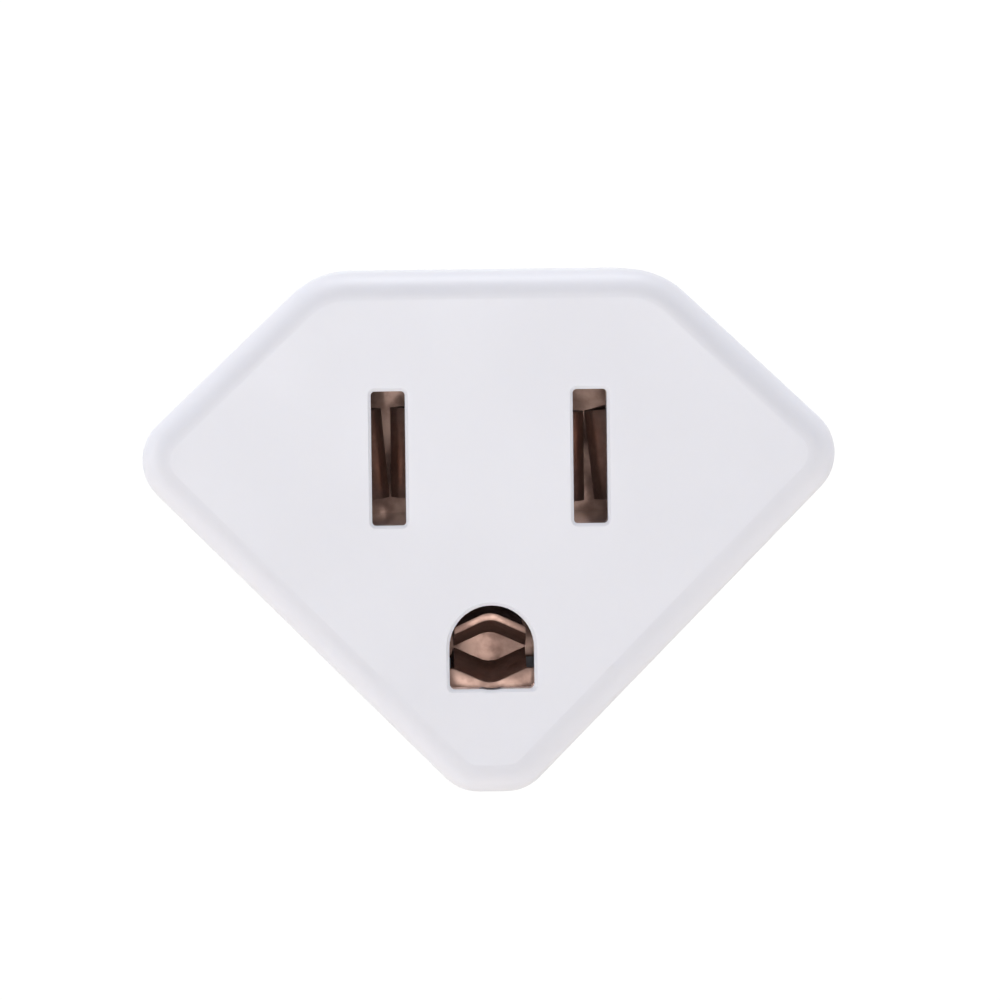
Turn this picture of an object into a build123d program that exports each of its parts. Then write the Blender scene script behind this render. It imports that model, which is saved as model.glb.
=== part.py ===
from build123d import *
import os

# A mains plug adapter with three openings in its face and two flat blades behind.
# Frame: +X to the right as the face is seen, +Y towards the wall socket, +Z up.
# Origin: midway between the two blades, on the rear face that meets the wall socket.
# All sizes are in millimetres.

# Places of the openings and blades
BLADE_SPACING = 12.7
GROUND_DROP = 12.0

# Outline of the body, a cut gem, given by its sharp corners before they are rounded
GIRDLE_HALF_WIDTH = 23.2
GIRDLE_HEIGHT = 0.08
TOP_HALF_WIDTH = 10.86
TOP_HEIGHT = 11.75
FOOT_HALF_WIDTH = 2.1
FOOT_DROP = 21.2
GIRDLE_CORNER = 3.1
TOP_CORNER = 5.4
FOOT_CORNER = 3.0

# Depths and walls of the two halves of the body
BODY_DEPTH = 25.0
COVER_THICKNESS = 3.0
FACE_WALL = 2.2
SIDE_WALL = 2.0
FACE_EDGE_ROUND = 1.8
REAR_EDGE_ROUND = 0.9
SEAM_CHAMFER = 0.15
LIP_HEIGHT = 2.0
LIP_WALL = 1.0
LIP_CLEARANCE = 0.12

# Openings in the face
SLOT_WIDTH = 2.14
SLOT_HEIGHT = 8.45
SLOT_CORNER = 0.25
GROUND_RADIUS = 2.67
GROUND_FLAT_DROP = 2.6
GROUND_CORNER = 0.35
OPENING_EDGE = 0.2

# Walls behind the face that hold the contacts
POCKET_WALL = 1.0
POCKET_CLEARANCE = 0.2
GROUND_POCKET_WALL = 0.9
RIB_THICKNESS = 1.0
RIB_SETBACK = 2.6

# Blades, each folded from one brass strip
BLADE_LENGTH = 17.0
BLADE_HEIGHT = 6.35
BLADE_SHEET = 0.72
BLADE_FOLD_GAP = 0.08
BLADE_TIP_CHAMFER = 1.1
BLADE_HOLE_RADIUS = 1.6
BLADE_HOLE_REACH = 11.7
BLADE_FOOT_BEND = 0.6
BLADE_FOOT_REACH = 3.3
BLADE_CLEARANCE = 0.1

# Spring clips behind the blade slots
CLIP_SHEET = 0.5
LEAF_SHEET_BEND = 0.6
LEAF_HEIGHT = 5.7
LEAF_RISE = 0.18
LEAF_ROOT_REACH = 3.2
LEAF_PINCH_REACH = 0.38
LEAF_PINCH_SETBACK = 7.4
LEAF_PINCH_BEND = 2.0
LEAF_LIP_REACH = 0.83
LEAF_LIP_SETBACK = 5.5
LEAF_LIP_BEND = 0.5
LEAF_MOUTH_REACH = 1.75
LEAF_MOUTH_SETBACK = 4.7
LEFT_LEAF_TILT = 5.0
RIGHT_LEAF_TILT = 5.8
CLIP_EAR_REACH = 5.2
CLIP_EAR_HALF_WIDTH = 2.4
CLIP_CORNER = 0.5

# Spring clip behind the ground opening
GROUND_BASE_HALF_HEIGHT = 2.9
GROUND_BASE_HALF_WIDTH = 4.0
GROUND_EAR_HALF_HEIGHT = 1.5
GROUND_LEAF_HALF_WIDTH = 2.3
GROUND_LEAF_APEX = 1.03
GROUND_LEAF_BEND = 1.5
GROUND_TIP_GAP = 0.06
GROUND_PINCH_SETBACK = 8.4
GROUND_MOUTH_SETBACK = 5.0
GROUND_UPPER_FLARE = 0.92
GROUND_LOWER_FLARE = 1.15
GROUND_FLANGE_REACH = 2.9
GROUND_SPRING_ROOM = 2.0
GROUND_CLIP_DROP = 0.4

# Rivets that join each blade to its clip
RIVET_SHANK_RADIUS = 0.45
RIVET_HEAD_RADIUS = 0.62
RIVET_HEAD_HEIGHT = 0.35
RIVET_HOLE_CLEARANCE = 0.02
RIVET_RELIEF = 0.15

# Screws that hold the rear cover to the front shell
SCREW_INSET = 8.7
SCREW_CORE_RADIUS = 0.85
SCREW_LENGTH = 9.5
SCREW_POINT = 1.2
SCREW_HEAD_RADIUS = 2.0
SCREW_HEAD_HEIGHT = 1.2
SCREW_HEAD_CROWN = 0.25
SCREW_HEAD_SINK = 0.35
SCREW_CROSS_LENGTH = 2.4
SCREW_CROSS_WIDTH = 0.55
SCREW_CROSS_DEPTH = 0.75
SCREW_HOLE_CLEARANCE = 0.3
SCREW_PILOT_CLEARANCE = 0.02
SCREW_PILOT_SPARE = 2.0
SCREW_BORE_CLEARANCE = 0.3
BOSS_RADIUS = 2.6

# Places along the depth, from the face at the front to the rear face at zero
FACE_Y = -BODY_DEPTH
FACE_INNER_Y = FACE_Y + FACE_WALL
COVER_Y = -COVER_THICKNESS
FOOT_Y = COVER_Y - BLADE_SHEET
LIVE_RIM_Y = FOOT_Y - CLIP_SHEET
GROUND_RIM_Y = COVER_Y - CLIP_SHEET
LIP_Y = COVER_Y - LIP_HEIGHT
RIB_Y = LIP_Y - RIB_SETBACK

# Places across the face
SLOT_X = BLADE_SPACING / 2
GROUND_Z = -GROUND_DROP
GROUND_CLIP_Z = GROUND_Z - GROUND_CLIP_DROP
SCREW_X = GIRDLE_HALF_WIDTH - SCREW_INSET
SCREW_PLACES = [(-SCREW_X, GIRDLE_HEIGHT), (SCREW_X, GIRDLE_HEIGHT)]

# Sizes that follow from the pieces they fit
BLADE_THICKNESS = 2 * BLADE_SHEET + BLADE_FOLD_GAP
BLADE_LAYER_X = (BLADE_SHEET + BLADE_FOLD_GAP) / 2
RIVET_OFFSET = (BLADE_LAYER_X + BLADE_FOOT_BEND + LEAF_ROOT_REACH - LEAF_SHEET_BEND) / 2
POCKET_HALF_WIDTH = LEAF_ROOT_REACH + CLIP_SHEET / 2 + POCKET_CLEARANCE
POCKET_HALF_HEIGHT = SLOT_HEIGHT / 2
GROUND_POCKET_HALF_WIDTH = GROUND_RADIUS + 2 * POCKET_CLEARANCE
GROUND_POCKET_HALF_HEIGHT = GROUND_BASE_HALF_HEIGHT + GROUND_SPRING_ROOM
GROUND_FLANGE_HALF_WIDTH = GROUND_POCKET_HALF_WIDTH - POCKET_CLEARANCE
SCREW_SEAT_Y = -(SCREW_HEAD_HEIGHT + SCREW_HEAD_SINK)


def prism(sketch, front_y, rear_y):
    """A solid with the sketch as its outline seen from the front, between two depths."""
    return extrude(Plane.XZ.offset(-rear_y) * sketch, amount=rear_y - front_y)


def rod(radius, front_y, rear_y, place):
    """A round rod along the depth at a place (x, z)."""
    return prism(Pos(*place) * Circle(radius), front_y, rear_y)


def gem_outline(inset=0.0):
    """The gem outline of the body, or the same outline moved inwards."""
    corners = [
        (TOP_HALF_WIDTH, TOP_HEIGHT),
        (GIRDLE_HALF_WIDTH, GIRDLE_HEIGHT),
        (FOOT_HALF_WIDTH, -FOOT_DROP),
        (-FOOT_HALF_WIDTH, -FOOT_DROP),
        (-GIRDLE_HALF_WIDTH, GIRDLE_HEIGHT),
        (-TOP_HALF_WIDTH, TOP_HEIGHT),
    ]
    radii = [TOP_CORNER, GIRDLE_CORNER, FOOT_CORNER, FOOT_CORNER, GIRDLE_CORNER, TOP_CORNER]
    outline = make_face(FilletPolyline(*corners, radius=radii, close=True))
    if inset:
        outline = offset(outline, amount=-inset)
    return outline


def slot_outline(x, grow=0.0):
    """A blade slot, or the same slot a little larger all round."""
    return Pos(x, 0) * RectangleRounded(SLOT_WIDTH + 2 * grow, SLOT_HEIGHT + 2 * grow, SLOT_CORNER + grow)


def ground_outline(grow=0.0):
    """The ground opening: a round arch above a flat bottom."""
    radius = GROUND_RADIUS + grow
    drop = GROUND_FLAT_DROP + grow
    block = Pos(0, -drop / 2) * Rectangle(2 * radius, drop)
    block = fillet(block.vertices().sort_by(Axis.Y)[:2], GROUND_CORNER)
    return Pos(0, GROUND_Z) * (Circle(radius) + block)


def blade_outline(x, grow=0.0):
    """The hole in the cover for one blade, or the same hole a little wider all round."""
    width = BLADE_THICKNESS + 2 * (BLADE_CLEARANCE + grow)
    height = BLADE_HEIGHT + 2 * (BLADE_CLEARANCE + grow)
    return Pos(x, 0) * Rectangle(width, height)


def pocket_outline(x, wall=0.0):
    """The space for a live clip, or the outside of the wall around it."""
    width = 2 * (POCKET_HALF_WIDTH + wall)
    height = 2 * (POCKET_HALF_HEIGHT + wall)
    return Pos(x, 0) * Rectangle(width, height)


def ground_pocket_outline(wall=0.0):
    """The space for the ground clip, down to the foot of the body, or the outside of its walls."""
    width = 2 * (GROUND_POCKET_HALF_WIDTH + wall)
    top = GROUND_CLIP_Z + GROUND_POCKET_HALF_HEIGHT + wall
    return Pos(0, (top - FOOT_DROP) / 2) * Rectangle(width, top + FOOT_DROP)


def eased_hole(outline_at, front_y, rear_y, ease):
    """The cutter of one hole through a wall, its front edge widened like a chamfer."""
    mouth = Plane.XZ.offset(-front_y) * outline_at(ease)
    throat = Plane.XZ.offset(-front_y - ease) * outline_at(0.0)
    return prism(outline_at(0.0), front_y, rear_y) + loft([mouth, throat])


def make_front_shell():
    """The front half of the body: a deep cup with pockets, ribs and screw bosses inside."""
    shell = prism(gem_outline(), FACE_Y, COVER_Y)
    shell = fillet(shell.faces().sort_by(Axis.Y)[0].edges(), FACE_EDGE_ROUND)
    shell = chamfer(shell.faces().sort_by(Axis.Y)[-1].edges(), SEAM_CHAMFER)
    hollow = gem_outline(SIDE_WALL)
    shell -= prism(hollow, FACE_INNER_Y, COVER_Y)

    ribs = Pos(0, GIRDLE_HEIGHT) * Rectangle(2 * GIRDLE_HALF_WIDTH, RIB_THICKNESS)
    ribs += Pos(0, GROUND_Z / 2) * Rectangle(RIB_THICKNESS, GROUND_DROP)
    shell += prism(ribs & hollow, FACE_INNER_Y, RIB_Y)

    for side in (-1, 1):
        shell += prism(pocket_outline(side * SLOT_X, POCKET_WALL), FACE_INNER_Y, LIVE_RIM_Y)
    ground_walls = ground_pocket_outline(GROUND_POCKET_WALL) & hollow
    shell += prism(ground_walls, FACE_INNER_Y, GROUND_RIM_Y)
    for place in SCREW_PLACES:
        shell += rod(BOSS_RADIUS, FACE_INNER_Y, COVER_Y, place)

    for side in (-1, 1):
        shell -= prism(pocket_outline(side * SLOT_X), FACE_INNER_Y, LIVE_RIM_Y)
        slot_at = lambda grow, x=side * SLOT_X: slot_outline(x, grow)
        shell -= eased_hole(slot_at, FACE_Y, FACE_INNER_Y, OPENING_EDGE)
    shell -= prism(ground_pocket_outline() & hollow, FACE_INNER_Y, GROUND_RIM_Y)
    shell -= eased_hole(ground_outline, FACE_Y, FACE_INNER_Y, OPENING_EDGE)
    pilot_y = SCREW_SEAT_Y - SCREW_LENGTH - SCREW_PILOT_SPARE
    for place in SCREW_PLACES:
        shell -= rod(SCREW_CORE_RADIUS + SCREW_PILOT_CLEARANCE, pilot_y, COVER_Y, place)
    return shell


def make_rear_cover():
    """The rear plate that meets the wall socket, with a lip that fits inside the shell."""
    cover = prism(gem_outline(), COVER_Y, 0)
    cover = fillet(cover.faces().sort_by(Axis.Y)[-1].edges(), REAR_EDGE_ROUND)
    cover = chamfer(cover.faces().sort_by(Axis.Y)[0].edges(), SEAM_CHAMFER)

    lip_outside = gem_outline(SIDE_WALL + LIP_CLEARANCE)
    lip_inside = gem_outline(SIDE_WALL + LIP_CLEARANCE + LIP_WALL)
    lip = lip_outside - lip_inside - ground_pocket_outline(GROUND_POCKET_WALL + LIP_CLEARANCE)
    cover += prism(lip, LIP_Y, COVER_Y)

    foot_bend = BLADE_FOOT_BEND - BLADE_SHEET / 2
    relief_radius = RIVET_HEAD_RADIUS + RIVET_RELIEF
    relief = SlotCenterToCenter(2 * RIVET_OFFSET, 2 * relief_radius)
    relief_y = COVER_Y + RIVET_HEAD_HEIGHT + RIVET_RELIEF
    for side in (-1, 1):
        cover -= eased_hole(lambda grow, x=side * SLOT_X: blade_outline(x, grow), COVER_Y, 0, foot_bend)
        cover -= prism(Pos(side * SLOT_X, 0) * relief, COVER_Y, relief_y)
    for place in SCREW_PLACES:
        cover -= rod(SCREW_CORE_RADIUS + SCREW_HOLE_CLEARANCE, COVER_Y, 0, place)
        cover -= rod(SCREW_HEAD_RADIUS + SCREW_BORE_CLEARANCE, SCREW_SEAT_Y, 0, place)
    return cover


def make_blade(x):
    """One blade: a strip folded back on itself at the tip, its ends turned out as feet."""
    layer_x = BLADE_LAYER_X
    foot_y = FOOT_Y + BLADE_SHEET / 2
    fold_y = BLADE_LENGTH - BLADE_THICKNESS / 2
    corners = [(-BLADE_FOOT_REACH, foot_y), (-layer_x, foot_y), (-layer_x, fold_y)]
    leg = FilletPolyline(*corners, radius=BLADE_FOOT_BEND)
    fold = ThreePointArc((-layer_x, fold_y), (0, fold_y + layer_x), (layer_x, fold_y))
    path = leg + fold + mirror(leg, Plane.YZ)
    blade = extrude(trace(path, line_width=BLADE_SHEET), amount=BLADE_HEIGHT / 2, both=True)

    reach = BLADE_LENGTH - FOOT_Y
    side = Pos(FOOT_Y + reach / 2, 0) * Rectangle(reach, BLADE_HEIGHT)
    side = chamfer(side.vertices().sort_by(Axis.X)[2:], BLADE_TIP_CHAMFER)
    side -= Pos(BLADE_HOLE_REACH, 0) * Circle(BLADE_HOLE_RADIUS)
    blade &= extrude(Plane.YZ * side, amount=BLADE_FOOT_REACH, both=True)

    for offset_x in (-RIVET_OFFSET, RIVET_OFFSET):
        blade -= rod(RIVET_SHANK_RADIUS + RIVET_HOLE_CLEARANCE, FOOT_Y, COVER_Y, (offset_x, 0))
    return Pos(x, 0, 0) * blade


def make_live_clip(tilt):
    """One live clip about its blade line: a base with two ears, a straight leaf and a tilted one."""
    base_y = (LIVE_RIM_Y + FOOT_Y) / 2
    leaf_path = FilletPolyline(
        (0, base_y),
        (LEAF_ROOT_REACH, base_y),
        (LEAF_PINCH_REACH, FACE_Y + LEAF_PINCH_SETBACK),
        (LEAF_LIP_REACH, FACE_Y + LEAF_LIP_SETBACK),
        (LEAF_MOUTH_REACH, FACE_Y + LEAF_MOUTH_SETBACK),
        radius=[LEAF_SHEET_BEND, LEAF_PINCH_BEND, LEAF_LIP_BEND],
    )
    leaf = extrude(trace(leaf_path, line_width=CLIP_SHEET), amount=LEAF_HEIGHT / 2, both=True)
    tilted_leaf = Rot(0, -tilt, 0) * mirror(leaf, Plane.YZ)
    clip = Pos(0, 0, LEAF_RISE) * (leaf + tilted_leaf)

    ears = RectangleRounded(2 * CLIP_EAR_HALF_WIDTH, 2 * CLIP_EAR_REACH, CLIP_CORNER)
    clip += prism(ears, LIVE_RIM_Y, FOOT_Y)
    for offset_x in (-RIVET_OFFSET, RIVET_OFFSET):
        clip -= rod(RIVET_SHANK_RADIUS + RIVET_HOLE_CLEARANCE, LIVE_RIM_Y, FOOT_Y, (offset_x, 0))
    return clip


def ground_leaf_line(tip_z):
    """The chevron line of one ground leaf on the side of the pin, its tips at a height."""
    half = GROUND_LEAF_HALF_WIDTH
    corners = [(-half, tip_z), (0, tip_z + GROUND_LEAF_APEX), (half, tip_z)]
    return FilletPolyline(*corners, radius=GROUND_LEAF_BEND)


def ground_leaf_section(y, tip_z):
    """The chevron section of one ground leaf at a depth, its tips at a height."""
    inner = ground_leaf_line(tip_z)
    outer = Pos(0, CLIP_SHEET) * inner
    ends = Line(inner @ 0, outer @ 0) + Line(inner @ 1, outer @ 1)
    return Plane.XZ.offset(-y) * make_face(inner + outer + ends)


def make_ground_leaf(flare):
    """One ground leaf, from the base to its pinch and out again to its flared mouth."""
    root_z = GROUND_BASE_HALF_HEIGHT - GROUND_LEAF_APEX - CLIP_SHEET
    pinch_z = GROUND_TIP_GAP / 2
    root = ground_leaf_section(COVER_Y, root_z)
    pinch = ground_leaf_section(FACE_Y + GROUND_PINCH_SETBACK, pinch_z)
    mouth = ground_leaf_section(FACE_Y + GROUND_MOUTH_SETBACK, pinch_z + flare)
    return loft([root, pinch]) + loft([pinch, mouth])


def make_ground_flange(flare):
    """The mouth of a ground leaf, turned outwards as a flange across the pocket."""
    mouth_y = FACE_Y + GROUND_MOUTH_SETBACK
    tip_z = GROUND_TIP_GAP / 2 + flare
    height = GROUND_FLANGE_REACH - tip_z
    inner = ground_leaf_line(tip_z)
    flange = Pos(0, tip_z + height / 2) * Rectangle(2 * GROUND_FLANGE_HALF_WIDTH, height)
    flange -= make_face(inner + Line(inner @ 0, inner @ 1))
    return prism(flange, mouth_y, mouth_y + CLIP_SHEET)


def make_ground_clip():
    """The ground clip: a base with two ears and two chevron leaves, the lower one with a flange."""
    base = Rectangle(2 * GROUND_LEAF_HALF_WIDTH, 2 * GROUND_BASE_HALF_HEIGHT)
    base += RectangleRounded(2 * GROUND_BASE_HALF_WIDTH, 2 * GROUND_EAR_HALF_HEIGHT, CLIP_CORNER)
    clip = prism(base, GROUND_RIM_Y, COVER_Y) + make_ground_leaf(GROUND_UPPER_FLARE)
    lower_leaf = make_ground_leaf(GROUND_LOWER_FLARE) + make_ground_flange(GROUND_LOWER_FLARE)
    clip += mirror(lower_leaf, Plane.XY)
    return Pos(0, 0, GROUND_CLIP_Z) * clip


def make_rivet(x):
    """One rivet through a clip and a blade foot, domed at both ends."""
    sphere = (RIVET_HEAD_RADIUS**2 + RIVET_HEAD_HEIGHT**2) / (2 * RIVET_HEAD_HEIGHT)
    dome = Cylinder(RIVET_HEAD_RADIUS, RIVET_HEAD_HEIGHT, align=(Align.CENTER, Align.CENTER, Align.MIN))
    dome &= Pos(0, 0, RIVET_HEAD_HEIGHT - sphere) * Sphere(sphere)
    head = Pos(0, LIVE_RIM_Y, 0) * Rot(90, 0, 0) * dome
    tail = Pos(0, COVER_Y, 0) * Rot(-90, 0, 0) * dome
    shank = rod(RIVET_SHANK_RADIUS, LIVE_RIM_Y, COVER_Y, (0, 0))
    return Pos(x, 0, 0) * (head + shank + tail)


def make_screw(place):
    """One self-tapping screw with a crowned head and a cross recess."""
    point_y = SCREW_SEAT_Y - SCREW_LENGTH
    rim_y = SCREW_SEAT_Y + SCREW_HEAD_HEIGHT - SCREW_HEAD_CROWN
    profile = Polyline(
        (0, point_y),
        (SCREW_CORE_RADIUS, point_y + SCREW_POINT),
        (SCREW_CORE_RADIUS, SCREW_SEAT_Y),
        (SCREW_HEAD_RADIUS, SCREW_SEAT_Y),
        (SCREW_HEAD_RADIUS, rim_y),
        (0, rim_y + SCREW_HEAD_CROWN),
        (0, point_y),
    )
    screw = revolve(make_face(profile), Axis.Y)
    cross = Rectangle(SCREW_CROSS_LENGTH, SCREW_CROSS_WIDTH)
    cross += Rectangle(SCREW_CROSS_WIDTH, SCREW_CROSS_LENGTH)
    top_y = rim_y + SCREW_HEAD_CROWN
    screw -= prism(cross, top_y - SCREW_CROSS_DEPTH, top_y)
    return Pos(place[0], 0, place[1]) * screw


def save(name, solid):
    """Writes one piece to its own file."""
    export_step(solid, "parts/" + name + ".step")


os.makedirs("parts", exist_ok=True)

save("front_shell", make_front_shell())
save("rear_cover", make_rear_cover())
save("ground_clip", make_ground_clip())
for name, side, turn, tilt in (("left", -1, 0, LEFT_LEAF_TILT), ("right", 1, 180, RIGHT_LEAF_TILT)):
    slot_x = side * SLOT_X
    save("blade_" + name, make_blade(slot_x))
    save("clip_" + name, Pos(slot_x, 0, 0) * Rot(0, turn, 0) * make_live_clip(tilt))
    save("rivet_" + name + "_outer", make_rivet(slot_x + side * RIVET_OFFSET))
    save("rivet_" + name + "_inner", make_rivet(slot_x - side * RIVET_OFFSET))
    save("screw_" + name, make_screw((side * SCREW_X, GIRDLE_HEIGHT)))
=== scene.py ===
# %% [markdown]
# A small white mains plug adapter with the outline of a cut gem.
# Its solids come from model.glb as a fixed frame. This script dresses that frame:
# it gives every piece the finish of the real material, and models again the pieces whose charm is in
# their small edges, which are the folded blades, the spring clips, the rivets and the screws.
# Every length in Blender is in metres, so each size of the adapter is written in millimetres and turned
# once. The studio round it is laid out in metres.

# %% Load the imported model
import math
import bmesh
import bpy
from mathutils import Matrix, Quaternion, Vector


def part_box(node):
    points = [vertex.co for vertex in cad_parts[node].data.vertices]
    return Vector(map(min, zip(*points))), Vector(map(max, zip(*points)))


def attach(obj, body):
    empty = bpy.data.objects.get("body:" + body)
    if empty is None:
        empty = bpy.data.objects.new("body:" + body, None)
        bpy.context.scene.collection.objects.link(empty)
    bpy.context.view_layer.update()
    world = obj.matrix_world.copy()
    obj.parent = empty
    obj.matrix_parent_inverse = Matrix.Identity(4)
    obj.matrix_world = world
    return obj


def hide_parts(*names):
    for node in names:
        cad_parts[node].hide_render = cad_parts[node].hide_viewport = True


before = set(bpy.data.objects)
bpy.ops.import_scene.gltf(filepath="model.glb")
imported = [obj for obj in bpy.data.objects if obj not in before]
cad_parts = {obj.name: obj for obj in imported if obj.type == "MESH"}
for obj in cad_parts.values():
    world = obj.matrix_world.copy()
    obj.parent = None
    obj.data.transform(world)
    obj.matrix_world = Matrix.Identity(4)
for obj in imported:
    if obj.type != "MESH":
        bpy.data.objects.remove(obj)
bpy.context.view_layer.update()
MM = 0.001

# %% [markdown]
# Colours are written as the sRGB hex values that a colour picker shows. Blender's shaders work with
# linear light, so one function turns them. One more small function adds a node to a tree, with its
# settings and with its inputs, each of which is a plain value or the socket of another node.

# %% Helpers for colours and nodes
def linear(code):
    """An sRGB hex colour as linear red, green, blue and alpha."""
    parts = [int(code[i:i + 2], 16) / 255 for i in (1, 3, 5)]
    return [v / 12.92 if v <= 0.04045 else ((v + 0.055) / 1.055) ** 2.4 for v in parts] + [1.0]


def add_node(tree, kind, inputs=None, **settings):
    """Adds one node with its settings. An input is a value, or a socket that is linked."""
    node = tree.nodes.new(kind)
    for name, value in settings.items():
        setattr(node, name, value)
    for key, value in (inputs or {}).items():
        if isinstance(value, bpy.types.NodeSocket):
            tree.links.new(value, node.inputs[key])
        else:
            node.inputs[key].default_value = value
    return node


def new_material(name):
    """A material with its shader, and the place on the object that its patterns read."""
    material = bpy.data.materials.new(name)
    material.use_nodes = True
    tree = material.node_tree
    place = tree.nodes.new("ShaderNodeTexCoord").outputs["Object"]
    return material, tree, tree.nodes["Principled BSDF"], place


print("mid grey #808080 is", round(linear("#808080")[0], 3), "in linear light")

# %% [markdown]
# The body is injection moulded ABS. The mould was spark eroded, which leaves a grain of about 0.05 mm
# that breaks the gloss into a soft satin. That is finer than a pixel, so it is drawn at 0.16 mm.
# Plastic that froze at slightly different speeds differs faintly in tone over a centimetre or so, and
# light enters a fraction of a millimetre, which softens the edges of the slots. The slots and the
# pockets behind them are formed by polished steel pins, so their walls are glossier than the outside,
# and mirror the bronze beside them. All of them lie inside one circle, and behind the rounded mouths.
# The rear cover has no such pockets, so its circle has no radius.

# %% White ABS, moulded in a spark-eroded mould
FLOW_SIZE = 9.0
FLOW_RANGE = (0.3, 0.7)
GLOSS_SPREAD = 0.03
SPARK_GRAIN = 0.16
SPARK_DEPTH = 0.0016
SPARK_STRENGTH = 0.35
ABS_IOR = 1.53
LIGHT_SHARE = 0.25
LIGHT_DEPTH = 0.5
LIGHT_REACH = (1.0, 0.9, 0.8)
PINS_CENTRE = (0, 0, -4.0)
PINS_RADIUS = 12.3
PINS_START = (-24.8, -24.4)
PIN_ROUGHNESS = 0.03
PIN_STRENGTH = 0.02


def moulded_abs(name, light_tone, dark_tone, roughness, pins_radius):
    """White ABS: a satin skin, a faint change of tone from flow, a fine grain, and polished pockets."""
    material, tree, shader, place = new_material(name)
    depth = add_node(tree, "ShaderNodeSeparateXYZ", {0: place})
    behind_mouths = add_node(tree, "ShaderNodeMapRange", {
        "Value": depth.outputs["Y"], "From Min": PINS_START[0] * MM, "From Max": PINS_START[1] * MM})
    from_pins = add_node(tree, "ShaderNodeVectorMath", {0: place, 1: [v * MM for v in PINS_CENTRE]},
                         operation="SUBTRACT")
    flattened = add_node(tree, "ShaderNodeVectorMath", {0: from_pins.outputs[0], 1: (1, 0, 1)},
                         operation="MULTIPLY")
    reach = add_node(tree, "ShaderNodeVectorMath", {0: flattened.outputs[0]}, operation="LENGTH")
    in_circle = add_node(tree, "ShaderNodeMath", {0: reach.outputs["Value"], 1: pins_radius * MM},
                         operation="LESS_THAN")
    polished = add_node(tree, "ShaderNodeMath", {0: behind_mouths.outputs["Result"],
                                                 1: in_circle.outputs[0]}, operation="MULTIPLY")
    flow = add_node(tree, "ShaderNodeTexNoise", {
        "Vector": place, "Scale": 1 / (FLOW_SIZE * MM), "Detail": 3.0})
    tone = add_node(tree, "ShaderNodeMix", {"Factor": flow.outputs["Fac"], 6: linear(dark_tone),
                                            7: linear(light_tone)}, data_type="RGBA")
    grain = add_node(tree, "ShaderNodeTexNoise", {
        "Vector": place, "Scale": 1 / (SPARK_GRAIN * MM), "Detail": 2.0})
    gloss = add_node(tree, "ShaderNodeMapRange", {
        "Value": flow.outputs["Fac"], "From Min": FLOW_RANGE[0], "From Max": FLOW_RANGE[1],
        "To Min": roughness - GLOSS_SPREAD, "To Max": roughness + GLOSS_SPREAD})
    skin = add_node(tree, "ShaderNodeMix", {"Factor": polished.outputs[0], "A": gloss.outputs["Result"],
                                            "B": PIN_ROUGHNESS})
    grain_left = add_node(tree, "ShaderNodeMapRange", {
        "Value": polished.outputs[0], "To Min": SPARK_STRENGTH, "To Max": PIN_STRENGTH})
    bump = add_node(tree, "ShaderNodeBump", {
        "Height": grain.outputs["Fac"], "Strength": grain_left.outputs["Result"],
        "Distance": SPARK_DEPTH * MM})
    tree.links.new(tone.outputs[2], shader.inputs["Base Color"])
    tree.links.new(skin.outputs["Result"], shader.inputs["Roughness"])
    tree.links.new(bump.outputs["Normal"], shader.inputs["Normal"])
    shader.inputs["IOR"].default_value = ABS_IOR
    shader.inputs["Subsurface Weight"].default_value = LIGHT_SHARE
    shader.inputs["Subsurface Radius"].default_value = LIGHT_REACH
    shader.inputs["Subsurface Scale"].default_value = LIGHT_DEPTH * MM
    return material


shell_abs = moulded_abs("abs_spark_eroded_white", "#E5E6EF", "#E1E2EB", roughness=0.40,
                        pins_radius=PINS_RADIUS)
cover_abs = moulded_abs("abs_spark_eroded_cover", "#E3E4ED", "#DEDFE8", roughness=0.44, pins_radius=0.0)
print("moulded:", shell_abs.name, cover_abs.name)

# %% [markdown]
# The three spring clips are phosphor bronze strip, rolled cold and then heated to make it springy.
# The heat and the air brown it unevenly, and the rolls leave fine lines along the strip. Bare bronze is a
# metal, so its colour is the colour of its reflection. The brown skin of oxide isn't: it scatters light
# as a mineral does, so the two numbers of oxide say how much of the metal it hides, clean and stained.

# %% Phosphor bronze, rolled and browned by heat
LINE_STRETCH = 25
LINE_DEPTH = 0.002
LINE_STRENGTH = 0.25
LINE_ROUGHNESS = 0.12
FINE_SHARE = 0.6
STAIN_RANGE = (0.42, 0.62)
STAIN_ROUGHNESS = 0.12


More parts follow.
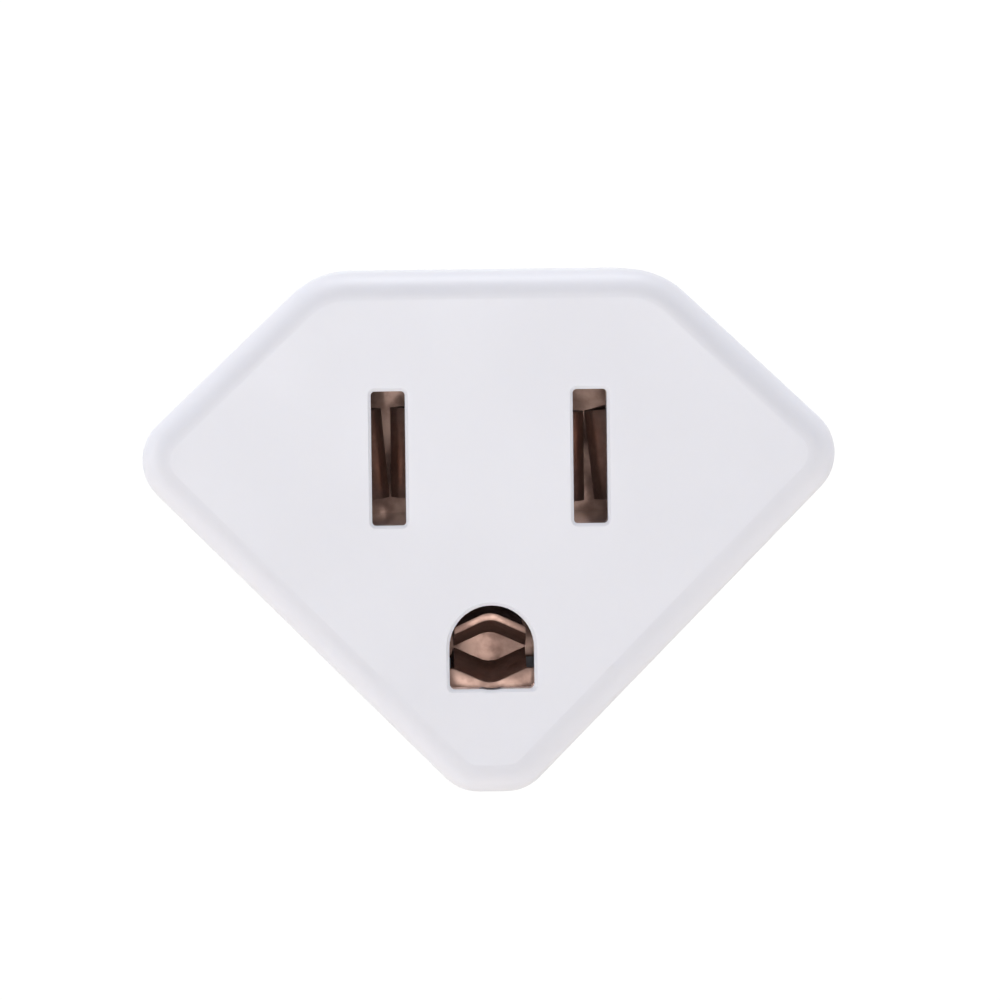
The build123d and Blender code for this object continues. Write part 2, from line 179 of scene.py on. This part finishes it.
def rolled_metal(name, bright, stained, roughness, line, stain_size, along, oxide=None):
    """Rolled strip: lines along one axis, and stain that dulls the metal in soft patches."""
    material, tree, shader, place = new_material(name)
    stretch = [1.0, 1.0, 1.0]
    stretch[along] = 1 / LINE_STRETCH
    drawn = add_node(tree, "ShaderNodeMapping", {"Vector": place, "Scale": stretch})
    lines = add_node(tree, "ShaderNodeTexNoise", {
        "Vector": drawn.outputs["Vector"], "Scale": 1 / (line * MM), "Detail": 3.0,
        "Roughness": FINE_SHARE})
    stain = add_node(tree, "ShaderNodeTexNoise", {
        "Vector": place, "Scale": 1 / (stain_size * MM), "Detail": 5.0, "Roughness": FINE_SHARE})
    spread = add_node(tree, "ShaderNodeMapRange", {
        "Value": stain.outputs["Fac"], "From Min": STAIN_RANGE[0], "From Max": STAIN_RANGE[1]})
    tone = add_node(tree, "ShaderNodeMix", {"Factor": spread.outputs["Result"], 6: linear(bright),
                                            7: linear(stained)}, data_type="RGBA")
    dull = add_node(tree, "ShaderNodeMapRange", {"Value": spread.outputs["Result"], "To Min": roughness,
                                                 "To Max": roughness + STAIN_ROUGHNESS})
    scored = add_node(tree, "ShaderNodeMath", {0: lines.outputs["Fac"], 1: LINE_ROUGHNESS,
                                               2: dull.outputs["Result"]}, operation="MULTIPLY_ADD")
    bump = add_node(tree, "ShaderNodeBump", {"Height": lines.outputs["Fac"], "Strength": LINE_STRENGTH,
                                             "Distance": LINE_DEPTH * MM})
    tree.links.new(tone.outputs[2], shader.inputs["Base Color"])
    tree.links.new(scored.outputs["Value"], shader.inputs["Roughness"])
    tree.links.new(bump.outputs["Normal"], shader.inputs["Normal"])
    shader.inputs["Metallic"].default_value = 1.0
    if oxide:
        bare = add_node(tree, "ShaderNodeMapRange", {
            "Value": spread.outputs["Result"], "To Min": 1 - oxide[0], "To Max": 1 - oxide[1]})
        tree.links.new(bare.outputs["Result"], shader.inputs["Metallic"])
    return material


clip_bronze = rolled_metal("bronze_rolled_browned", "#C5A496", "#A68478", roughness=0.38, line=0.09,
                           stain_size=2.2, along=1, oxide=(0.05, 0.30))
print("rolled:", clip_bronze.name)

# %% [markdown]
# The blades are brass strip, which is yellower and cleaner than the clips because plugging in wipes it.
# The rivets are brass wire pressed cold, so their lines are coarser and their stains smaller.

# %% Brass, rolled for the blades and pressed for the rivets
blade_brass = rolled_metal("brass_rolled_strip", "#D9BE86", "#C3A269", roughness=0.24, line=0.12,
                           stain_size=5.0, along=1)
rivet_brass = rolled_metal("brass_pressed_wire", "#CDB07A", "#A98C5C", roughness=0.30, line=0.2,
                           stain_size=0.7, along=0)
print("brass:", blade_brass.name, rivet_brass.name)

# %% [markdown]
# The screws are steel, plated with zinc and then passivated. The zinc grows as small crystals, which
# gives a fine mottle of brighter and duller spots and a faint cold tint.

# %% Steel, zinc plated
CRYSTAL_SIZE = 0.22
ZINC_ROUGHNESS = (0.27, 0.38)


def plated_zinc(name):
    """Zinc on steel: a mottle of crystals, each a little brighter or duller than the next."""
    material, tree, shader, place = new_material(name)
    crystals = add_node(tree, "ShaderNodeTexVoronoi", {"Vector": place, "Scale": 1 / (CRYSTAL_SIZE * MM)})
    mottle = add_node(tree, "ShaderNodeSeparateColor", {0: crystals.outputs["Color"]})
    tone = add_node(tree, "ShaderNodeMix", {"Factor": mottle.outputs[0], 6: linear("#B9BDC1"),
                                            7: linear("#CDD0D2")}, data_type="RGBA")
    gloss = add_node(tree, "ShaderNodeMapRange", {
        "Value": mottle.outputs[1], "To Min": ZINC_ROUGHNESS[0], "To Max": ZINC_ROUGHNESS[1]})
    tree.links.new(tone.outputs[2], shader.inputs["Base Color"])
    tree.links.new(gloss.outputs["Result"], shader.inputs["Roughness"])
    shader.inputs["Metallic"].default_value = 1.0
    return material


screw_zinc = plated_zinc("steel_zinc_plated")
print("plated:", screw_zinc.name)

# %% [markdown]
# The two halves of the body keep their CAD shape: it has the gem outline, the rounded face edge, the
# eased slots and the seam already, so they only need the plastic.

# %% Dress the two halves of the body
for node, material in (("front_shell", shell_abs), ("rear_cover", cover_abs)):
    body_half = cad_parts[node]
    if not body_half.material_slots:
        body_half.data.materials.append(material)
    for slot in body_half.material_slots:
        slot.material = material
    print(node, "keeps its CAD shape,", len(body_half.data.polygons), "faces")

# %% [markdown]
# A strip that is stamped from sheet has edges rounded by the die on one side and by tumbling on all.
# CAD leaves such an edge perfectly sharp, and a sharp edge never catches the light. So a stamped piece
# is a copy of its CAD shape with its loose triangles merged, and a Bevel modifier rounds its edges.

# %% A helper for stamped pieces
WELD_WITHIN = 0.0005
FLAT_WITHIN = math.radians(0.8)
EDGE_STEPS = 2
EDGE_FROM = math.radians(35)
STAMPED_SHARP_FROM = math.radians(32)


def stamped_copy(node, name, material, edge):
    """A copy of a CAD node as one closed mesh with its sharp edges rounded."""
    shape = bmesh.new()
    shape.from_mesh(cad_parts[node].data)
    bmesh.ops.remove_doubles(shape, verts=shape.verts, dist=WELD_WITHIN * MM)
    bmesh.ops.dissolve_limit(shape, angle_limit=FLAT_WITHIN, verts=shape.verts, edges=shape.edges)
    mesh = bpy.data.meshes.new(name)
    shape.to_mesh(mesh)
    shape.free()
    mesh.materials.clear()
    mesh.materials.append(material)
    piece = bpy.data.objects.new(name, mesh)
    bpy.context.scene.collection.objects.link(piece)
    rounding = piece.modifiers.new("edge", "BEVEL")
    rounding.width = edge * MM
    rounding.segments = EDGE_STEPS
    rounding.limit_method = "ANGLE"
    rounding.angle_limit = EDGE_FROM
    finished = bpy.data.meshes.new_from_object(piece.evaluated_get(bpy.context.evaluated_depsgraph_get()))
    piece.modifiers.clear()
    piece.data = finished
    for face in finished.polygons:
        face.use_smooth = True
    finished.set_sharp_from_angle(angle=STAMPED_SHARP_FROM)
    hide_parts(node)
    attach(piece, "root")
    return piece


print("stamped pieces get their edges rounded")

# %% [markdown]
# Each blade is one strip of brass folded back on itself at the tip, so its edge shows two layers with
# a hair of gap between them. Its long edges are rounded so that they find the socket's slots.

# %% Folded blades
BLADE_EDGE = 0.10
for side in ("left", "right"):
    blade = stamped_copy("blade_" + side, "blade_strip_" + side, blade_brass, BLADE_EDGE)
    print(blade.name, len(blade.data.polygons), "faces")

# %% [markdown]
# The three spring clips are folded strip as well. Their strip is thinner, so their edges are rounded
# less. The folds and the leaves come from CAD, because they decide how a clip grips the plug.

# %% Spring clips
CLIP_EDGE = 0.06
for node in ("clip_left", "clip_right", "ground_clip"):
    clip = stamped_copy(node, node + "_spring", clip_bronze, CLIP_EDGE)
    print(clip.name, len(clip.data.polygons), "faces")

# %% [markdown]
# Rivets and screws are turned pieces: a profile goes round an axis. A thread is the same idea, with a
# profile that also climbs while it goes round. One Geometry Nodes tree does both. It lays out a grid with
# one column for each step round the axis, and moves each point of a column to its place on the profile.
# The profile itself comes in as a short line of points, so the same tree makes any turned shape. Points
# below Bottom or above Top are drawn in to the axis, and the piece tapers from Shoulder down to Bottom.
# Unless they are set, those three heights lie about a metre away, where they change nothing.

# %% A tree that turns a profile, with or without a climb
ROUND_STEPS = 32
MERGE_WITHIN = 1e-7


def new_tree(name, sizes):
    """A Geometry Nodes tree with one output and these inputs: name, kind and, if it has one, a default."""
    tree = bpy.data.node_groups.new(name, "GeometryNodeTree")
    for label, kind, *default in sizes:
        socket = tree.interface.new_socket(name=label, in_out="INPUT", socket_type="NodeSocket" + kind)
        if default:
            socket.default_value = default[0]
    tree.interface.new_socket(name="Piece", in_out="OUTPUT", socket_type="NodeSocketGeometry")
    return tree


turning = new_tree("turn a profile", [
    ("Profile", "Geometry"), ("Steps a turn", "Int", ROUND_STEPS), ("Turns", "Int", 1),
    ("Climb a turn", "Float", 0.0), ("Bottom", "Float", -1.0), ("Shoulder", "Float", -0.9),
    ("Top", "Float", 1.0)])
given = add_node(turning, "NodeGroupInput").outputs
points = add_node(turning, "GeometryNodeAttributeDomainSize", {0: given["Profile"]}).outputs["Point Count"]
steps = add_node(turning, "FunctionNodeIntegerMath", {0: given["Steps a turn"], 1: given["Turns"], 2: 1},
                 operation="MULTIPLY_ADD").outputs[0]
grid = add_node(turning, "GeometryNodeMeshGrid", {
    "Vertices X": steps, "Vertices Y": points}).outputs["Mesh"]
index = add_node(turning, "GeometryNodeInputIndex").outputs[0]
column = add_node(turning, "FunctionNodeIntegerMath", {0: index, 1: points},
                  operation="DIVIDE_FLOOR").outputs[0]
row = add_node(turning, "FunctionNodeIntegerMath", {0: index, 1: points}, operation="MODULO").outputs[0]
position = add_node(turning, "GeometryNodeInputPosition").outputs[0]
on_profile = add_node(turning, "GeometryNodeSampleIndex", {
    "Geometry": given["Profile"], "Value": position, "Index": row}, data_type="FLOAT_VECTOR").outputs[0]
across = add_node(turning, "ShaderNodeSeparateXYZ", {0: on_profile}).outputs
turn = add_node(turning, "ShaderNodeMath", {0: column, 1: given["Steps a turn"]},
                operation="DIVIDE").outputs[0]
climbed = add_node(turning, "ShaderNodeMath", {0: turn, 1: given["Climb a turn"], 2: across["Z"]},
                   operation="MULTIPLY_ADD").outputs[0]
height = add_node(turning, "ShaderNodeClamp", {"Value": climbed, "Min": given["Bottom"],
                                               "Max": given["Top"]}).outputs[0]
taper = add_node(turning, "ShaderNodeMapRange", {"Value": height, "From Min": given["Bottom"],
                                                 "From Max": given["Shoulder"]}).outputs[0]
inside = add_node(turning, "ShaderNodeMath", {0: height, 1: given["Top"]}, operation="LESS_THAN").outputs[0]
tapered = add_node(turning, "ShaderNodeMath", {0: across["X"], 1: taper}, operation="MULTIPLY").outputs[0]
radius = add_node(turning, "ShaderNodeMath", {0: tapered, 1: inside}, operation="MULTIPLY").outputs[0]
angle = add_node(turning, "ShaderNodeMath", {0: turn, 1: 2 * math.pi}, operation="MULTIPLY").outputs[0]
spoke = add_node(turning, "ShaderNodeCombineXYZ", {"X": radius, "Z": height}).outputs[0]
placed = add_node(turning, "ShaderNodeVectorRotate", {"Vector": spoke, "Angle": angle},
                  rotation_type="Z_AXIS")
moved = add_node(turning, "GeometryNodeSetPosition", {"Geometry": grid, "Position": placed.outputs[0]})
merged = add_node(turning, "GeometryNodeMergeByDistance", {"Geometry": moved.outputs[0],
                                                           "Distance": MERGE_WITHIN})
add_node(turning, "NodeGroupOutput", {0: merged.outputs[0]})
print("the turning tree has", len(turning.nodes), "nodes")

# %% [markdown]
# A modifier runs a tree on an object, and new_from_object keeps the result as a plain mesh, so the
# finished piece carries no modifier. Its inputs are set by each socket's identifier, before Blender
# works it out for the first time. The line of points that starts it all is thrown away afterwards.

# %% Helpers that run a tree
TURNED_SHARP_FROM = math.radians(30)


def profile_line(name, points):
    """A line of points, given in millimetres as the distance from the axis and the height."""
    mesh = bpy.data.meshes.new(name)
    edges = [(i, i + 1) for i in range(len(points) - 1)]
    mesh.from_pydata([(r * MM, 0, z * MM) for r, z in points], edges, [])
    line = bpy.data.objects.new(name, mesh)
    bpy.context.scene.collection.objects.link(line)
    return line


def arc(centre_r, centre_z, radius_r, radius_z, first, last, count):
    """Points along an arc or a flattened arc, by angle in degrees from the horizontal."""
    angles = [math.radians(first + (last - first) * i / count) for i in range(count + 1)]
    return [(centre_r + radius_r * math.cos(a), centre_z + radius_z * math.sin(a)) for a in angles]


def run_tree(name, tree, profile, sizes, node):
    """Runs a tree on a profile line and keeps the result as the finished piece for a CAD node."""
    maker = profile.modifiers.new("maker", "NODES")
    maker.node_group = tree
    for item in tree.interface.items_tree:
        if item.in_out == "INPUT" and item.name in sizes:
            maker[item.identifier] = sizes[item.name]
    mesh = bpy.data.meshes.new_from_object(profile.evaluated_get(bpy.context.evaluated_depsgraph_get()))
    profile.modifiers.remove(maker)
    for face in mesh.polygons:
        face.use_smooth = True
    mesh.set_sharp_from_angle(angle=TURNED_SHARP_FROM)
    mesh.name = name
    piece = bpy.data.objects.new(name, mesh)
    bpy.context.scene.collection.objects.link(piece)
    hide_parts(node)
    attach(piece, "root")
    return piece


def axis_place(node, above_front):
    """The point on a turned CAD node's axis, this many millimetres behind its front end."""
    low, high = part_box(node)
    return [(low[0] + high[0]) / 2, low[1] + above_front * MM, (low[2] + high[2]) / 2]


print("helpers ready: profile_line, arc, run_tree, axis_place")

# %% [markdown]
# A rivet is pressed from wire: one dome comes from the tool, the other is made when the rivet is closed,
# and comes out a little flatter with a small land at its rim. Each of the four joins a foot of a blade to
# its clip, under the cover. Place and length are read from the CAD node that the rivet stands for. The
# tree turns the profile about Z, then lays the rivet down with its axis along the depth, which is Y.

# %% Four rivets
RIVET_SHANK = 0.45
RIVET_HEAD = 0.62
RIVET_DOME = 0.35
CLOSED_LAND = 0.06
CLOSED_EDGE = 0.05
DOME_STEPS = 8
LAID_DOWN = (math.radians(-90), 0, 0)


def lay_down(tree, given, piece):
    """Ends a tree: lays a piece along the depth, moves it to its place and gives it its finish."""
    laid = add_node(tree, "GeometryNodeTransform", {"Geometry": piece, "Translation": given["Place"],
                                                    "Rotation": LAID_DOWN})
    solid = add_node(tree, "GeometryNodeRealizeInstances", {0: laid.outputs[0]})
    finished = add_node(tree, "GeometryNodeSetMaterial", {"Geometry": solid.outputs[0],
                                                          "Material": given["Finish"]})
    add_node(tree, "NodeGroupOutput", {0: finished.outputs[0]})


riveting = new_tree("rivet", [("Profile", "Geometry"), ("Place", "Vector"),
                              ("Steps a turn", "Int", ROUND_STEPS), ("Finish", "Material")])
given = add_node(riveting, "NodeGroupInput").outputs
turned = add_node(riveting, "GeometryNodeGroup", node_tree=turning)
riveting.links.new(given["Profile"], turned.inputs["Profile"])
riveting.links.new(given["Steps a turn"], turned.inputs["Steps a turn"])
lay_down(riveting, given, turned.outputs[0])

rivet_low, rivet_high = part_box("rivet_left_outer")
grip = (rivet_high[1] - rivet_low[1]) / MM - 2 * RIVET_DOME
land_end = grip + CLOSED_LAND
rivet_profile = profile_line("rivet profile", (
    arc(0, 0, RIVET_HEAD, -RIVET_DOME, 90, 0, DOME_STEPS)
    + [(RIVET_SHANK, 0), (RIVET_SHANK, grip), (RIVET_HEAD, grip), (RIVET_HEAD, land_end)]
    + arc(0, land_end, RIVET_HEAD - CLOSED_EDGE, RIVET_DOME - CLOSED_LAND, 0, 90, DOME_STEPS)))
for side in ("left", "right"):
    for foot in ("outer", "inner"):
        node = "rivet_" + side + "_" + foot
        rivet_sizes = {"Place": axis_place(node, RIVET_DOME), "Finish": rivet_brass}
        rivet = run_tree("rivet_pressed_" + side + "_" + foot, riveting, rivet_profile, rivet_sizes, node)
        print(rivet.name, len(rivet.data.polygons), "faces")
bpy.data.objects.remove(rivet_profile)

# %% [markdown]
# The screws cut their own thread in the plastic bosses, so the thread is coarse: a thin sharp ridge with
# wide valleys, and a point that starts it. The profile of one pitch climbs by exactly one pitch a turn,
# so each turn meets the next. The head is a pan head with a cross recess, cut out with two tapered bars.

# %% A tree for a self-tapping screw
THREAD_INTO_HEAD = 0.4
THREAD_STEPS = 28
HEAD_STEPS = 64
CROSS_DEPTH = 0.75
CROSS_TAPER = (0.35, 1.65)

screwing = new_tree("self-tapping screw", [
    ("Head profile", "Geometry"), ("Thread profile", "Object"), ("Place", "Vector"), ("Pitch", "Float"),
    ("Turns", "Int"), ("Length", "Float"), ("Point", "Float"), ("Cross length", "Float"),
    ("Cross width", "Float"), ("Cross depth", "Float"), ("Head height", "Float"), ("Finish", "Material")])
given = add_node(screwing, "NodeGroupInput").outputs
thread_line = add_node(screwing, "GeometryNodeObjectInfo", {
    "Object": given["Thread profile"]}).outputs["Geometry"]
head = add_node(screwing, "GeometryNodeGroup", node_tree=turning)
screwing.links.new(given["Head profile"], head.inputs["Profile"])
head.inputs["Steps a turn"].default_value = HEAD_STEPS
thread = add_node(screwing, "GeometryNodeGroup", node_tree=turning)
point_end = add_node(screwing, "ShaderNodeMath", {0: given["Length"], 1: -1.0},
                     operation="MULTIPLY").outputs[0]
shoulder = add_node(screwing, "ShaderNodeMath", {0: point_end, 1: given["Point"]},
                    operation="ADD").outputs[0]
for label, socket in (("Profile", thread_line), ("Turns", given["Turns"]), ("Climb a turn", given["Pitch"]),
                      ("Bottom", point_end), ("Shoulder", shoulder)):
    screwing.links.new(socket, thread.inputs[label])
thread.inputs["Steps a turn"].default_value = THREAD_STEPS
thread.inputs["Top"].default_value = THREAD_INTO_HEAD * MM
joined = add_node(screwing, "GeometryNodeMeshBoolean", operation="UNION", solver="EXACT")
screwing.links.new(head.outputs[0], joined.inputs["Mesh 2"])
screwing.links.new(thread.outputs[0], joined.inputs["Mesh 2"])
deep = add_node(screwing, "ShaderNodeMath", {0: given["Cross depth"], 1: 2.0},
                operation="MULTIPLY").outputs[0]
bar_size = add_node(screwing, "ShaderNodeCombineXYZ", {
    "X": given["Cross length"], "Y": given["Cross width"], "Z": deep}).outputs[0]
bar = add_node(screwing, "GeometryNodeMeshCube", {"Size": bar_size}).outputs["Mesh"]
place_in_bar = add_node(screwing, "GeometryNodeInputPosition").outputs[0]
bar_axes = add_node(screwing, "ShaderNodeSeparateXYZ", {0: place_in_bar}).outputs
narrowing = add_node(screwing, "ShaderNodeMapRange", {
    "Value": bar_axes["Z"], "From Min": -CROSS_DEPTH * MM, "From Max": CROSS_DEPTH * MM,
    "To Min": CROSS_TAPER[0], "To Max": CROSS_TAPER[1]}, clamp=False).outputs[0]
narrow = add_node(screwing, "ShaderNodeCombineXYZ", {"X": narrowing, "Y": 1.0, "Z": 1.0}).outputs[0]
tapered_place = add_node(screwing, "ShaderNodeVectorMath", {0: place_in_bar, 1: narrow},
                         operation="MULTIPLY").outputs[0]
tapered_bar = add_node(screwing, "GeometryNodeSetPosition", {
    "Geometry": bar, "Position": tapered_place}).outputs[0]
head_top = add_node(screwing, "ShaderNodeCombineXYZ", {"Z": given["Head height"]}).outputs[0]
bar_one = add_node(screwing, "GeometryNodeTransform", {"Geometry": tapered_bar, "Translation": head_top})
bar_two = add_node(screwing, "GeometryNodeTransform", {"Geometry": tapered_bar, "Translation": head_top,
                                                       "Rotation": (0, 0, math.radians(90))})
recessed = add_node(screwing, "GeometryNodeMeshBoolean", {"Mesh 1": joined.outputs["Mesh"]},
                    operation="DIFFERENCE", solver="EXACT")
screwing.links.new(bar_one.outputs[0], recessed.inputs["Mesh 2"])
screwing.links.new(bar_two.outputs[0], recessed.inputs["Mesh 2"])
lay_down(screwing, given, recessed.outputs["Mesh"])
print("the screw's tree has", len(screwing.nodes), "nodes")

# %% [markdown]
# The tree needs two profiles. The head's goes from its flat underside round the rim and the shoulder to
# the crown. The thread's is one pitch long, with one ridge in it. It starts one pitch below the point and
# climbs until it is 0.4 mm inside the head, so that the two solids join without a gap.

# %% Two self-tapping screws
SCREW_LENGTH = 9.5
SCREW_POINT = 1.6
THREAD_CREST = 0.85
THREAD_ROOT = 0.60
THREAD_PITCH = 0.95
RIDGE_FOOT = (0.30, 0.70)
RIDGE_TOP = (0.47, 0.53)
SPARE_TURNS = 2
CROSS_LENGTH = 2.4
CROSS_WIDTH = 0.55
HEAD_RADIUS = 2.0
HEAD_HEIGHT = 1.2
RIM_EDGE = 0.1
RIM_STEPS = 3
SHOULDER_START = 0.62
SHOULDER_WIDTH = 0.45
SHOULDER_RISE = 0.4
SHOULDER_TURN = 62
SHOULDER_STEPS = 6
CROWN_FROM = 12
CROWN_STEPS = 8
crown_start = SHOULDER_START + SHOULDER_RISE * math.sin(math.radians(SHOULDER_TURN))
crown_radius = HEAD_RADIUS - SHOULDER_WIDTH * (1 - math.cos(math.radians(SHOULDER_TURN)))
head_profile = profile_line("pan head profile", (
    [(0, 0)] + arc(HEAD_RADIUS - RIM_EDGE, RIM_EDGE, RIM_EDGE, RIM_EDGE, -90, 0, RIM_STEPS)
    + arc(HEAD_RADIUS - SHOULDER_WIDTH, SHOULDER_START, SHOULDER_WIDTH, SHOULDER_RISE, 0, SHOULDER_TURN,
          SHOULDER_STEPS)
    + arc(0, crown_start, crown_radius, HEAD_HEIGHT - crown_start, CROWN_FROM, 90, CROWN_STEPS)))
first_turn = -SCREW_LENGTH - THREAD_PITCH
thread_profile = profile_line("thread profile", [
    (radius, first_turn + THREAD_PITCH * share) for radius, share in (
        (THREAD_ROOT, 0), (THREAD_ROOT, RIDGE_FOOT[0]), (THREAD_CREST, RIDGE_TOP[0]),
        (THREAD_CREST, RIDGE_TOP[1]), (THREAD_ROOT, RIDGE_FOOT[1]), (THREAD_ROOT, 1))])
turns = math.ceil((SCREW_LENGTH + THREAD_INTO_HEAD) / THREAD_PITCH) + SPARE_TURNS
screw_sizes = {
    "Thread profile": thread_profile, "Pitch": THREAD_PITCH * MM, "Turns": turns,
    "Length": SCREW_LENGTH * MM, "Point": SCREW_POINT * MM, "Cross length": CROSS_LENGTH * MM,
    "Cross width": CROSS_WIDTH * MM, "Cross depth": CROSS_DEPTH * MM, "Head height": HEAD_HEIGHT * MM,
    "Finish": screw_zinc}
for side in ("left", "right"):
    node = "screw_" + side
    screw = run_tree("screw_pan_head_" + side, screwing, head_profile,
                     {**screw_sizes, "Place": axis_place(node, SCREW_LENGTH)}, node)
    print(screw.name, len(screw.data.polygons), "faces")
for line in (head_profile, thread_profile):
    bpy.data.objects.remove(line)

# %% [markdown]
# The photograph looks almost straight at the face, from a little above and a touch from the left, and
# from far away, because the slots' walls hardly open up. A long lens of 240 mm at 0.42 m does the same.

# %% Camera
PIXELS_PER_MM = 15.9
IMAGE_PIXELS = 1000
SENSOR_WIDTH = 36
NEAREST = 0.01
CAMERA_DISTANCE = 0.42
LOOK_AT = Vector((0.63, -25.0, -2.69)) * MM
CAMERA_ABOVE = math.radians(2.2)
CAMERA_LEFT = math.radians(1.2)
CAMERA_ROLL = math.radians(-0.7)
towards_camera = Vector((-math.sin(CAMERA_LEFT) * math.cos(CAMERA_ABOVE),
                         -math.cos(CAMERA_LEFT) * math.cos(CAMERA_ABOVE), math.sin(CAMERA_ABOVE)))
lens = bpy.data.cameras.new("camera")
camera = bpy.data.objects.new("camera", lens)
bpy.context.scene.collection.objects.link(camera)
camera.location = LOOK_AT + CAMERA_DISTANCE * towards_camera
camera.rotation_mode = "QUATERNION"
camera.rotation_quaternion = (-towards_camera).to_track_quat("-Z", "Y") @ Quaternion((0, 0, 1), CAMERA_ROLL)
lens.sensor_width = SENSOR_WIDTH
lens.lens = SENSOR_WIDTH * CAMERA_DISTANCE / (IMAGE_PIXELS / PIXELS_PER_MM * MM)
lens.clip_start = NEAREST
bpy.context.scene.camera = camera
print("lens", round(lens.lens), "mm")

# %% [markdown]
# A white backdrop runs all the way round at the height of the lens, so every view gets the white ground
# of the photograph. White wings close the studio on the sides, behind and above, and make the rounded
# edges nearly as bright as the face. Only the part above the lens in front is dim. One soft light overhead
# and one on the left shape the edges. A round light about the lens sees what the lens sees, so it reaches
# down the slots to the bronze: what faces the lens there shines, and the flanks of the leaves stay dark.

# %% Studio light
BACKDROP = 1.04
BACKDROP_EDGES = (0.10, 0.20)
WING_EDGES = (-0.45, -0.15)
DOME = 0.02
LIGHTS_AIM = Vector((0, -0.01, -0.004))
LENS_LIGHT_BEHIND = 0.08
scene = bpy.context.scene
scene.view_settings.view_transform = "Standard"
world = bpy.data.worlds.new("studio")
world.use_nodes = True
scene.world = world
sky = world.node_tree
direction = add_node(sky, "ShaderNodeTexCoord").outputs["Generated"]
axes = add_node(sky, "ShaderNodeSeparateXYZ", {0: direction})
level_or_below = add_node(sky, "ShaderNodeMapRange", {
    "Value": axes.outputs["Z"], "From Min": BACKDROP_EDGES[0], "From Max": BACKDROP_EDGES[1],
    "To Min": 1.0, "To Max": 0.0}, interpolation_type="SMOOTHSTEP")
beside = add_node(sky, "ShaderNodeMapRange", {
    "Value": axes.outputs["Y"], "From Min": WING_EDGES[0], "From Max": WING_EDGES[1]},
    interpolation_type="SMOOTHSTEP")
white = add_node(sky, "ShaderNodeMath", {0: level_or_below.outputs["Result"], 1: beside.outputs["Result"]},
                 operation="MAXIMUM")
levels = add_node(sky, "ShaderNodeMapRange", {
    "Value": white.outputs[0], "To Min": DOME, "To Max": BACKDROP})
sky.links.new(levels.outputs["Result"], sky.nodes["Background"].inputs["Strength"])
sky.nodes["Background"].inputs["Color"].default_value = linear("#FFFFFF")


def soft_light(name, place, size, watts):
    """A round soft white light that faces the adapter. Its size is its diameter."""
    lamp = bpy.data.lights.new(name, "AREA")
    lamp.shape = "DISK"
    lamp.size = size
    lamp.energy = watts
    holder = bpy.data.objects.new(name, lamp)
    holder.location = place
    holder.rotation_mode = "QUATERNION"
    holder.rotation_quaternion = (LIGHTS_AIM - Vector(place)).to_track_quat("-Z", "Y")
    scene.collection.objects.link(holder)


lens_light_place = LOOK_AT + (CAMERA_DISTANCE + LENS_LIGHT_BEHIND) * towards_camera
soft_light("around_the_lens", lens_light_place, size=0.09, watts=0.57)
soft_light("left_side", (-0.70, -0.10, 0.10), size=0.40, watts=0.80)
soft_light("overhead", (0, -0.05, 0.80), size=0.50, watts=2.20)

# %% [markdown]
# The floor is a plain pale disc below the adapter. It sends a little warm light up to the foot.

# %% Floor
FLOOR_DROP = 0.10
FLOOR_RADIUS = 0.50
FLOOR_SIDES = 128
PAPER_FIBRE = 1.5
PAPER_ROUGHNESS = 0.9
floor_shape = bmesh.new()
bmesh.ops.create_circle(floor_shape, cap_ends=True, segments=FLOOR_SIDES, radius=FLOOR_RADIUS)
bmesh.ops.translate(floor_shape, verts=floor_shape.verts, vec=(0, 0, -FLOOR_DROP))
floor_mesh = bpy.data.meshes.new("floor")
floor_shape.to_mesh(floor_mesh)
floor_shape.free()
floor = bpy.data.objects.new("floor", floor_mesh)
scene.collection.objects.link(floor)
paper, paper_tree, paper_shader, paper_place = new_material("paper_matt_pale")
fibre = add_node(paper_tree, "ShaderNodeTexNoise", {"Vector": paper_place, "Scale": 1 / (PAPER_FIBRE * MM)})
paper_tone = add_node(paper_tree, "ShaderNodeMix", {"Factor": fibre.outputs["Fac"], 6: linear("#F0EAE2"),
                                                    7: linear("#F4EFE8")}, data_type="RGBA")
paper_tree.links.new(paper_tone.outputs[2], paper_shader.inputs["Base Color"])
paper_shader.inputs["Roughness"].default_value = PAPER_ROUGHNESS
floor_mesh.materials.append(paper)
print("floor", FLOOR_DROP, "m below the blades")
